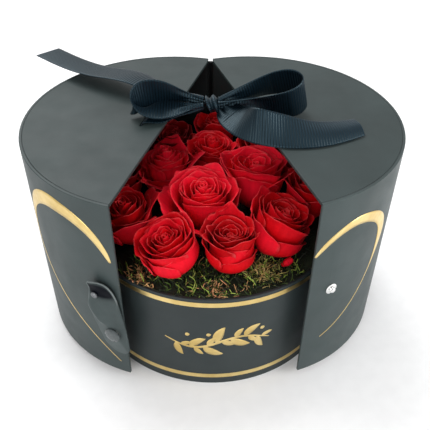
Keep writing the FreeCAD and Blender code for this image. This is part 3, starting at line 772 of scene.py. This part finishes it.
def make_moss():
    rng = np.random.default_rng(71)
    inner = DRUM_RADIUS - BOARD - WALL_CLEAR
    material = moss_material()
    finish_piece(make_moss_ground(rng, inner), "root", "moss", material, "moss_bed")

    def sow(name, count, spread, tints, lengths, thick, bend, rise):
        pile = Pile()
        for _ in range(count):
            x, y = spread()
            start = (x, y, MOSS_TOP + rng.uniform(-0.5, 1.5))
            heading = (rng.normal(), rng.normal(), abs(rng.normal()) * rise)
            line = in_drum(wander(rng, start, heading, rng.uniform(*lengths), bend), inner)
            strand(pile, line, rng.uniform(*thick), rng.choice(tints) + rng.uniform(-0.05, 0.05))
        finish_piece(pile.build(name), "root", "moss", material)

    def at(turn, reach):
        return reach * math.sin(turn), -reach * math.cos(turn)

    def front():
        """Place near the front rim, the part that shows most."""
        return at(rng.uniform(-0.75, 0.75), inner * rng.uniform(0.62, 1.0))

    def anywhere():
        return at(rng.uniform(0, 2 * math.pi), inner * math.sqrt(rng.uniform(0, 1)))

    def around(x, y, spread):
        return lambda: (x + rng.normal(0, spread), y + rng.normal(0, spread))

    sow("moss_dark_strands", 1000, anywhere, (0.08, 0.16, 0.26), (8, 20), (0.5, 1.0), 1.1, 0.7)
    sow("moss_front_strands", 900, front, (0.14, 0.26, 0.36, 0.46), (6, 15), (0.5, 1.0), 1.3, 0.8)
    sow("moss_green_tips", 230, front, (0.56, 0.66, 0.7), (5, 11), (0.6, 1.1), 1.0, 1.1)
    sow("moss_clump_right", 330, around(37, -77, 6.0), (0.72, 0.8, 0.88, 0.35), (5, 12), (0.5, 1.0),
        1.8, 1.4)
    sow("moss_clump_left", 100, around(-54, -80, 5.5), (0.9, 0.98, 1.0), (5, 11), (0.7, 1.4), 2.2, 1.1)
    sow("moss_clump_middle", 50, around(4, -96, 5), (0.9, 0.98, 1.0), (5, 11), (0.7, 1.3), 2.2, 1.1)
    sow("moss_dry_bits", 110, front, (0.84, 0.95), (4, 10), (0.6, 1.1), 2.0, 1.0)
    make_fallen_bud(rng)


def make_fallen_bud(rng):
    """Small closed bud lying on the moss at the right."""
    pile = Pile()
    for number in range(4):
        grid, u, v = petal_grid(rng, 3.0 - 0.35 * number, math.radians(85), 0, 9.5, -0.45, curl=0.3,
                                ruffle=0.1, direction=math.radians(110 * number), cols=11)
        pile.add_sheet(grid, PETAL_THICK, **petal_marks(rng, u, v, 0.95))
    bud = pile.build("fallen_bud")
    lean = Matrix.Rotation(math.radians(65), 4, "Y") @ Matrix.Rotation(math.radians(-20), 4, "X")
    bud.data.transform(Matrix.Translation(Vector((50, -73, MOSS_TOP + 5)) * MM) @ lean)
    finish_piece(bud, "root", "red_petal", bpy.data.materials["rose_petal"])


# --- ribbon bow -------------------------------------------------------------------------------

PLEATS = 5  # across a gathered end
BELLY = 11.0  # greatest bulge of a ribbon's spare width
RIBBON_COLS = 17


def ribbon_grid(first, second, pinched=(0, 0), bulge=1.0):
    """Grid of a ribbon between two edges, five rows to a rib. Pinched says how far from each end,
    in mm, the ribbon is gathered; where its edges come nearer than its width, the spare width
    bulges out, or lies in pleats near a gathered end. Returns the grid, marks and length."""
    count = 200
    middle = (spline(first, count) + spline(second, count)) / 2
    length = np.linalg.norm(np.diff(middle, axis=0), axis=1).sum()
    rows = int(5 * length / RIB)
    edges = [spline(first, rows), spline(second, rows)]
    s = np.linspace(-1, 1, RIBBON_COLS)[None, :, None]
    grid = edges[0][:, None] * (1 - s) / 2 + edges[1][:, None] * (1 + s) / 2
    out = grid_normals(grid)
    out = unit(out.mean(axis=1, keepdims=True)) + 0 * grid
    along = np.linspace(0, length, rows)[:, None, None]
    gathered = np.zeros((rows, 1, 1))
    if pinched[0]:
        gathered = np.maximum(gathered, np.exp(-(along / pinched[0]) ** 2))
    if pinched[1]:
        gathered = np.maximum(gathered, np.exp(-((length - along) / pinched[1]) ** 2))
    chord = np.linalg.norm(edges[1] - edges[0], axis=1)[:, None, None]
    spare = np.sqrt(np.maximum(RIBBON**2 - chord**2, 0))
    belly = np.minimum(0.42 * spare, BELLY) * np.cos(math.pi / 2 * s)
    crimp = np.minimum(0.5 * spare / PLEATS, 2.0) * np.sin(math.pi * PLEATS * (s + 1) / 2 + 0.6)
    offset = bulge * belly * (1 - gathered) + crimp * gathered
    ribs = 0.17 * np.sin(2 * math.pi * along / RIB) * (1 - 0.5 * s**8)
    grid = grid + out * (offset + ribs)
    weave = np.stack([along + 0 * s, s * RIBBON / 2 + 0 * along, 0 * s + 0 * along], -1)[:, :, 0] * MM
    return grid, weave, length


def add_ribbon(name, first, second, **shape):
    grid, weave, length = ribbon_grid(first, second, **shape)
    return sheet_piece(name, grid, RIBBON_THICK, weave=weave), length * MM


def mirrored(points):
    return [(-x, y, z) for x, y, z in points]


def tail_edges(course):
    """Right and left edge of a ribbon along a course of (x, y, level of its lower edge, share of its
    width that is spread, lean of its left edge upwards in degrees)."""
    course = np.array(course, float)
    heading = unit(np.gradient(course[:, :3], axis=0) * (1, 1, 0))
    left = np.stack([-heading[:, 1], heading[:, 0], 0 * heading[:, 0]], 1)
    lean = np.radians(course[:, 4:])
    reach = (np.cos(lean) * left + np.sin(lean) * (0, 0, 1)) * course[:, 3:4] * RIBBON / 2
    middle = course[:, :3] + np.abs(reach) * (0, 0, 1)
    return middle - reach, middle + reach


def make_bow():
    material = ribbon_material()

    def declare(piece, length, body, held, rests_on, *replaced):
        finish_piece(piece, body, "black_ribbon", material, *replaced)

    # Right loop: out along the front, round the tip and back behind.
    low = [
        (4, 12, 182.0), (15, 12, 182.0), (30, 12, 181.5), (45, 8, 180.3), (59, 3, 179.8),
        (69, 8, 181.5), (72, 15, 184.5), (66, 22, 187), (54, 25, 187.5), (40, 24, 186.5),
        (26, 20, 185), (14, 17, 184), (4, 16, 184)]
    high = [
        (4, 10, 188.5), (14, 8, 190.5), (27, 4, 194), (41, -2, 200.0), (57, -1, 204.5),
        (64.5, 4, 207.5), (66, 9.5, 209.5), (62, 13.5, 211.8), (54, 16, 212.0), (44, 15.5, 210),
        (31, 13, 205.5), (16, 11, 198), (4, 12, 190)]
    loop, length = add_ribbon("bow_right_loop", low, high, pinched=(16, 16), bulge=0.6)
    declare(loop, length, "root", "folded", ["right_door_top"], "bow_loop_right")
    # Left loop: shorter and rounder. Its front lies flat, so that the camera looks into it.
    low = [
        (-7, 13, 183), (-17, 16.5, 184), (-28, 20, 184.5), (-39, 20.5, 184.5), (-48, 15.5, 182.5),
        (-55, 9, 181.5), (-60, 5, 181), (-62, 6.5, 180.5), (-58, 9.5, 180.3), (-52, 13.5, 180.3),
        (-44, 18.5, 180.8), (-35, 21, 181.3), (-22, 21, 182.5), (-7, 16.5, 184)]
    high = [
        (-7, 10, 187), (-17, 5.5, 184), (-28, -0.5, 182.5), (-38, -4, 182.5), (-47, -5, 184),
        (-54.5, -4.5, 188), (-59.5, 0, 193.5), (-60.5, 6, 199.5), (-56, 11, 204),
        (-46, 13.5, 205.5), (-35, 14.5, 203), (-22, 15, 196), (-7, 14, 190)]
    loop, length = add_ribbon("bow_left_loop", low, high, pinched=(13, 13), bulge=-0.3)
    declare(loop, length, "root", "folded", ["left_door_top"], "bow_loop_left")

    # Right tail: from under the knot to the front, then over the right plate, leaning on one edge.
    edges = tail_edges([
        (6, 12, 180, 0.45, 40), (13, 4, 180, 0.9, 15), (28, -24, 178, 1, 60), (46, -28, 178, 1, 45),
        (70, -28, 178, 0.9, 30), (107, -14, 178, 0.7, 15)])
    tail, length = add_ribbon("bow_right_tail", *edges, pinched=(12, 0), bulge=-0.35)
    declare(tail, length, "root", "laid", ["right_door_top"], "ribbon_tail_right")
    # Left tail: from behind the knot, over the left plate and past its edge.
    edges = tail_edges([
        (-6, 18, 182, 0.2, 5), (-20, 25, 180, 0.5, 5), (-40, 38, 182, 0.8, 5),
        (-58, 48, 187, 0.95, 5), (-90, 66, 185, 1, 5), (-143, 109, 183, 1, 5)])
    tail, length = add_ribbon("bow_left_tail", *reversed(edges), pinched=(12, 0), bulge=0.35)
    declare(tail, length, "root", "laid", ["left_door_top"], "ribbon_tail_left")

    make_knot(declare)
    make_straps(material)
    make_anchors(declare)


def make_knot(declare):
    """Ribbon wrapped once round the gathered loops, pleated, with its edges rolled under. It is flat
    where it would meet the closed doors."""
    turns = np.radians(np.linspace(-205, 178, 130))[:, None]
    s = np.linspace(-1, 1, 41)[None, :]
    roll = 2.3 * s
    grow = 0.5 * turns / math.pi
    pleat = 1.3 * np.sin(math.pi * 3.5 * s + 0.7 * np.sin(turns)) * (1 - 0.5 * s**4)
    under = 1.3 * (1 - np.cos(roll))
    ribs = 0.1 * np.sin(turns * 30)
    across = 4.6 * np.sin(roll) * (1 + 0.14 * np.cos(turns))
    y = 14.0 + (7.0 + grow + pleat - under + ribs) * np.sin(turns)
    z = KNOT_LEVEL + (5.3 + grow + pleat - under + ribs) * np.cos(turns)
    x = 0.9 + across + 0.3 * (KNOT_LEVEL - z)
    z = np.maximum(z, PLATE_TOP + KNOT_CLEAR)
    grid = np.stack([x, y, z], -1)
    length = np.linalg.norm(np.diff(grid, axis=0), axis=2).sum() / grid.shape[1]
    weave = np.stack([turns * 7.0 + 0 * s, s * RIBBON / 2 + 0 * turns, 0 * s + 0 * turns], -1) * MM
    knot = sheet_piece("bow_knot_wrap", grid, RIBBON_THICK, weave=weave)
    declare(knot, length * MM, "root", "folded", ["bow_left_loop", "bow_right_loop"], "bow_knot")


SLOT = (17.0, -2.0)  # middle of the ribbon's slot in the closed right door
# Places along the right strap's two edges, from its slot to the knot, and how far it rises at each.
STRAP_EDGES = (((42, -2.4), (30, 3.5), (17, 9), (6, 12)),
               ((36, 20.8), (26, 20.8), (15, 19), (6, 17.5)))
STRAP_RISE = (0.2, 0.8, 2.4, 4.6)


def make_straps(material):
    """Ribbon from each door's slot up to the knot."""
    for side, name in SIDES:
        edges = []
        for offset, course in zip((-RIBBON / 2, RIBBON / 2), STRAP_EDGES):
            x, y, _ = door_rest((SLOT[0], SLOT[1] + offset, 0), 1)
            edge = [(x, y, PLATE_TOP - 0.6), (x - 0.5, y, LYING)]
            edge += [(*place, LYING + rise) for place, rise in zip(course, STRAP_RISE)]
            edges.append(edge)
        if side < 0:
            edges = [mirrored(edge) for edge in reversed(edges)]
        piece, length = add_ribbon(f"bow_{name}_strap", *edges, pinched=(0, 12), bulge=0.15)
        finish_piece(piece, None, "black_ribbon", material, f"ribbon_strap_{name}")
        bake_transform(piece)


def make_anchors(declare):
    """Ribbon end that comes down through the slot and lies glued under the plate."""
    under = PLATE_BOTTOM - 0.4
    course = [(0, PLATE_TOP - 0.2), (0.1, PLATE_TOP - 1.4), (0.6, under + 0.1), (2.5, under), (8, under),
              (14, under)]
    for side, name in SIDES:
        edges = []
        for y in (SLOT[1] - RIBBON / 2, SLOT[1] + RIBBON / 2):
            edges.append(door_rest([(SLOT[0] + x, y, z) for x, z in course], side).tolist())
        if side < 0:
            edges.reverse()
        piece, length = add_ribbon(f"{name}_ribbon_end", *edges, bulge=0.0)
        declare(piece, length, f"door_{name}", "laid", [f"{name}_door_top"], f"{name}_ribbon_anchor")


# --- closing strap ----------------------------------------------------------------------------

STRAP_ABOVE = 14.0  # rivet to the upper end
STRAP_BELOW = 62.0  # rivet to the lower end
STRAP_HALF = 11.5
STRAP_OFFSET = 4.0  # rivet to the middle line, towards the seam
STRAP_STANDOFF = 3.0
STRAP_THICK = 1.2
STRAP_TILT = math.radians(9.5)
CLOSED_RIVET = turned([-RIVET[0], RIVET[1]], -REST_OPENING, HINGE[:2])
SNAP_ARC = math.atan2(CLOSED_RIVET[0], -CLOSED_RIVET[1])  # from the seam to the rivet
SNAP_DISTANCE = 40.0
# Round corners: upper one away from the seam, upper one by the seam, and the two lower ones.
STRAP_CORNERS = (2.0, 14.0, 14.0, 6.0)
STRAP_SHADE = (0.074, 0.092, 0.092)


def strap_lift(x, y):
    """Height of the strap over the wall's tangent plane: cupped above the rivet, ridged below."""
    cup = smooth_step((np.hypot(x, np.maximum(y, 0)) - 3.5) / 13) * smooth_step((y + 5) / 11)
    cup = cup * smooth_step((x + 17) / 18)
    hug = 2.6 * smooth_step((-x - 1) / 10) * (0.5 + 0.5 * smooth_step((6 - y) / 14))
    crease = 9.0 + 0.35 * y
    ridge = np.exp(-((x - crease) / 4.5) ** 2) * smooth_step((-y - 5) / 10)
    ridge = ridge * smooth_step((y + SNAP_DISTANCE - 6) / 12)
    foot = smooth_step((-y - SNAP_DISTANCE - 6) / 12)
    return 2.6 * cup + 3.2 * ridge - 1.2 * foot - hug * (1 - 0.5 * foot)


def corner_inset(y, upper, lower):
    """How far a side is drawn in near the strap's two ends, by corners of these radii."""
    into_top = np.clip((y - (STRAP_ABOVE - upper)) / upper, 0, 0.99)
    into_foot = np.clip(((lower - STRAP_BELOW) - y) / lower, 0, 0.99)
    return upper * (1 - np.sqrt(1 - into_top**2)) + lower * (1 - np.sqrt(1 - into_foot**2))


def make_closing_strap():
    rows, cols = 78, 27
    ease = np.linspace(-1, 1, rows)[:, None]
    ease = 0.5 * ease + 0.5 * np.sin(math.pi / 2 * ease)
    y = (STRAP_ABOVE - STRAP_BELOW) / 2 - ease * (STRAP_ABOVE + STRAP_BELOW) / 2
    s = np.linspace(-1, 1, cols)[None, :]
    # Buckled by the rivet, the strap draws in on its far side above, and tapers a little below.
    drawn = 6.5 * smooth_step((y + 12) / 24) + 3.0 * smooth_step((-y - 25) / 25)
    far_side = STRAP_HALF - STRAP_OFFSET + 1 - drawn - corner_inset(y, STRAP_CORNERS[0], STRAP_CORNERS[2])
    taper = 2.5 * smooth_step((-y - 30) / 30)
    seam_side = -STRAP_HALF - STRAP_OFFSET + taper + corner_inset(y, STRAP_CORNERS[1], STRAP_CORNERS[3])
    x = seam_side + (far_side - seam_side) * (s + 1) / 2
    border = np.minimum(np.minimum(far_side - x, x - seam_side), STRAP_ABOVE - y)
    y = y + 0 * s
    lift = STRAP_STANDOFF + STRAP_THICK / 2 + strap_lift(x, y)
    edge = np.clip(1 - border / 0.9, 0, 1) * smooth_step((y + 12) / 10)
    # Painted shade: the tint falls to near black in the dip round the rivet, under its curled end. Painted
    # light: the flank beyond the crease below the rivet is made lighter.
    hollow_shade = np.clip(2.6 * np.exp(-(((x + 5) / 9) ** 2 + ((y - 6 - 0.3 * x) / 6) ** 2)), 0, 1)
    lit_facet = 0.13 * smooth_step((x - 9.0 - 0.35 * y) / 3) * smooth_step((-y - 4) / 8)
    edge = 0.5 + lit_facet - 0.5 * hollow_shade * (1 - edge) + (0.5 - lit_facet) * edge
    # From the strap's own axes to those of the closed right door's wall, and then to where it rests.
    across = np.cos(STRAP_TILT) * x + np.sin(STRAP_TILT) * y
    up = -np.sin(STRAP_TILT) * x + np.cos(STRAP_TILT) * y
    outward = np.array([math.sin(SNAP_ARC), -math.cos(SNAP_ARC), 0])
    along = np.array([math.cos(SNAP_ARC), math.sin(SNAP_ARC), 0])
    spot = outward * DOOR_RADIUS + (0, 0, RIVET[2])
    grid = spot + across[..., None] * along + up[..., None] * (0, 0, 1) + lift[..., None] * outward
    grid = door_rest(grid, -1)
    panel = sheet_piece("closing_strap_panel", grid[:, ::-1], STRAP_THICK, tint=edge[:, ::-1])
    strap = finish_piece(panel, "snap_strap", "black_strap", strap_material(), "closing_strap")


# --- gold print -------------------------------------------------------------------------------

PRINT_GAP = 0.09  # print's middle above the board's surface
PRINT_THICK = 0.08

# Half hearts, as (angle from the seam in degrees, level in mm): cusp, crown, widest point and tip,
# the headings of the curve at each, and the stroke: its greatest width, where that is and where
# the thin line begins, counted in stretches from the cusp.
HEARTS = {
    "left": ([(2.5, 127), (26, 161), (48, 112), (4, 18)],
             [(12, 70), (34, 0), (0, -80), (-52, -110)], (12, 1.0, 2.4)),
    "right": ([(0.5, 131), (17.5, 151), (37, 118), (8.5, 41)],
              [(12, 32), (22, 0), (0, -58), (-58, -62)], (10.4, 1.95, 2.45)),
}
HEART_STEPS = 10  # points to a stretch
THIN_LINE = 1.7
STROKE_COLS = 5

VINE_LEVEL = 50
VINE_SWING = 5.5
VINE_PITCH = 11.5  # distance along the vine for each radian of its wave
VINE_SHIFT = 1.7  # middle of the ornament, to the right of the drum's front


def heart_stroke(places, headings, stroke):
    """Points of a half heart, a smooth cubic between its places, with the stroke's width at each."""
    wide, peak, thinned = stroke
    points = []
    for along in np.linspace(0, 3, 3 * HEART_STEPS + 1):
        k = min(int(along), 2)
        f = along - k
        start, end = (np.array(places[i], float) for i in (k, k + 1))
        leaving, arriving = (np.array(headings[i], float) for i in (k, k + 1))
        turn, level = ((2 * f**3 - 3 * f**2 + 1) * start + (f**3 - 2 * f**2 + f) * leaving
                       + (3 * f**2 - 2 * f**3) * end + (f**3 - f**2) * arriving)
        swell = min(1, along / peak) ** 0.65 * smooth_step((thinned - along) / (thinned - peak))
        thin = THIN_LINE * (1 - 0.5 * smooth_step(along - 2))
        points.append((math.radians(turn) * DOOR_RADIUS, level, thin + (wide - THIN_LINE) * swell))
    return points


def stroke_grid(points, radius, spacing=1.3):
    """Brush stroke on a cylinder: points are (distance round it, level, width) in mm."""
    points = np.asarray(points, float)
    flat = np.stack([points[:, 0], points[:, 1], 0 * points[:, 0], points[:, 2]], 1)
    length = np.linalg.norm(np.diff(flat[:, :2], axis=0), axis=1).sum()
    line = spline(flat, max(12, int(length / spacing)))
    along = unit(np.gradient(line[:, :2], axis=0))
    side = np.stack([-along[:, 1], along[:, 0]], 1)
    s = np.linspace(-1, 1, STROKE_COLS)[None, :, None]
    spread = line[:, None, :2] + side[:, None] * s * np.maximum(line[:, 3], 0.3)[:, None, None] / 2
    turn = spread[..., 0] / radius
    reach = radius + PRINT_GAP
    return np.stack([reach * np.sin(turn), -reach * np.cos(turn), spread[..., 1]], -1)


def make_hearts(material):
    for side, name in SIDES:
        grid = door_rest(stroke_grid(heart_stroke(*HEARTS[name]), DOOR_RADIUS), side)
        stroke = sheet_piece(f"{name}_gold_stroke", grid, PRINT_THICK)
        finish_piece(stroke, f"door_{name}", "gold_foil", material)


def leaf(root, heading, length, width, curve):
    """Leaf-shaped stroke: starts at a root, along a heading (degrees), and curves (degrees)."""
    points = [(*root, 0.6)]
    steps = 5
    for k in range(1, steps + 1):
        share = k / steps
        turn = math.radians(heading + curve * share)
        x, z, _ = points[-1]
        points.append((x + math.cos(turn) * length / steps, z + math.sin(turn) * length / steps,
                       0.6 + (width - 0.6) * math.sin(math.pi * share**0.85) ** 0.8))
    return points


def make_flourish(material):
    """Generic ornament on the drum's front: a leafy vine with a few berries."""
    pile = Pile()

    def vine(x):
        return VINE_LEVEL + VINE_SWING * math.sin(x / VINE_PITCH)

    stem = [(x, vine(x), 0.9 + 1.5 * math.cos(x / 41 * math.pi / 2))
            for x in np.linspace(-40, 41, 15)]
    strokes = [stem]
    for number, x in enumerate(np.linspace(-31, 31, 7)):
        up = 1 if number % 2 else -1
        size = 1.0 - 0.3 * abs(x) / 40
        slope = math.degrees(math.atan(VINE_SWING / VINE_PITCH * math.cos(x / VINE_PITCH)))
        strokes.append(leaf((x, vine(x)), slope + up * 74, 19 * size, 7.6 * size, -up * 46))
        strokes.append(leaf((x + 3.5, vine(x + 3.5)), slope - up * 62, 12 * size, 5.2 * size, up * 34))
    for x, z in ((-24, 58), (-8, 59), (33, 60)):
        strokes.append(leaf((x, z), 20, 3.6, 3.4, 0))
    for points in strokes:
        moved = [(VINE_SHIFT + x, z, width) for x, z, width in points]
        pile.add_sheet(stroke_grid(moved, DRUM_RADIUS, 0.9), PRINT_THICK)
    finish_piece(pile.build("drum_gold_flourish"), "root", "gold_foil", material)


# --- hinge cloth ------------------------------------------------------------------------------

TAPE_THICK = 0.34
TAPE_GAP = 0.22  # tape's middle above the board's surface


def make_hinge_cloth(material):
    """Woven tape from the spine onto each door, with a bead over the pivot. It bends at the pivot."""
    spine_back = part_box("hinge_spine")[1].y / MM
    for side, name in SIDES:
        low, high = (np.array(corner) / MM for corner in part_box(f"{name}_hinge_tape"))
        levels = np.linspace(low[2], high[2], 90)[:, None]
        on_spine = np.linspace(0.06, HINGE[0] - 0.2, 4)
        on_door = np.linspace(HINGE[0] + 0.2, 15.0, 12)
        x = np.concatenate([on_spine, on_door])[None, :]
        ripple = 0.45 * np.exp(-(((x - HINGE[0]) / 1.1) ** 2)) + 0.05 * np.sin(levels * 1.9)
        spine = np.where(x < HINGE[0], spine_back + TAPE_GAP, 0)
        y = np.maximum(np.sqrt((DOOR_RADIUS + TAPE_GAP) ** 2 - x**2), spine) + ripple
        closed = np.stack([x + 0 * levels, y, levels + 0 * x], -1)
        opened = door_rest(closed, 1)
        grid = np.where((x > HINGE[0])[..., None], opened, closed) * (side, 1, 1)
        tape = sheet_piece(f"{name}_hinge_cloth", grid if side < 0 else grid[:, ::-1], TAPE_THICK)
        finish_piece(tape, None, "hinge_cloth", material, f"{name}_hinge_tape")
        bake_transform(tape)


# --- materials of the CAD pieces --------------------------------------------------------------


def paint(material, *names):
    for name in names:
        piece = frame["nodes"][name]
        for slot in piece.material_slots:
            slot.material = material


def paint_cad():
    half = BOARD / 2
    paint(board_material("drum_board", BOARD_SHADE, (0, 0), DRUM_RADIUS - half), "drum_wall")
    for side, name in SIDES:
        centre = door_rest([(0, 0, 0)], side)[0]
        paint(board_material(f"{name}_board", BOARD_SHADE, centre, DOOR_RADIUS - half), f"{name}_door_wall")
    # The plates take the darker copy of the board, a painted shade.
    top = board_material("top_board", TOP_BOARD_DARKENED, floor=PLATE_BOTTOM + 0.4)
    paint(top, "left_door_top", "right_door_top")
    inside = grained_material("inner_board", (0.003, 0.004, 0.005), (0.006, 0.008, 0.009), 0.7, 60, 0.0001,
                              Specular_IOR_Level=0.1)
    foil = foil_material()
    steel = grained_material("nickel", (0.72, 0.72, 0.7), (0.85, 0.85, 0.84), 0.22, 300, 0.00003,
                             Metallic=1.0)
    enamel = grained_material("snap_enamel", (0.05, 0.062, 0.064), (0.072, 0.086, 0.088), 0.2, 400,
                              0.00005)
    paint(inside, "drum_base", "hinge_spine")
    paint(foil, "upper_gold_band", "lower_gold_band")
    # The rivet's nickel is much darker than the other metal: painted shade for the dip it sits in.
    darkened = grained_material("darkened_nickel", (0.08, 0.085, 0.09), (0.22, 0.23, 0.24), 0.3, 300, 0.00003,
                            Metallic=1.0)
    paint(darkened, "strap_rivet")
    paint(steel, "rivet_washer", "snap_stud", "stud_backing", "snap_socket")
    paint(enamel, "snap_cap")
    film = grained_material("clear_film", (0.72, 0.76, 0.77), (0.8, 0.83, 0.84), 0.12, 200, 0.00004)
    paint(film, "drum_liner")
    foam = grained_material("floral_foam", (0.04, 0.15, 0.06), (0.08, 0.24, 0.11), 0.9, 1200, 0.0004)
    paint(foam, "foam_brick")
    green = grained_material("green_stem", (0.05, 0.12, 0.03), (0.1, 0.22, 0.06), 0.5, 500, 0.0002)
    paint(green, "rose_stems", "rose_calyxes")
    cloth = grained_material("hinge_weave", (0.018, 0.022, 0.022), (0.03, 0.036, 0.036), 0.8, 1400, 0.0002)
    return foil, cloth


make_camera()
make_stage()
foil, cloth = paint_cad()
make_roses()
make_moss()
make_bow()
make_closing_strap()
make_hearts(foil)
make_flourish(foil)
make_hinge_cloth(cloth)
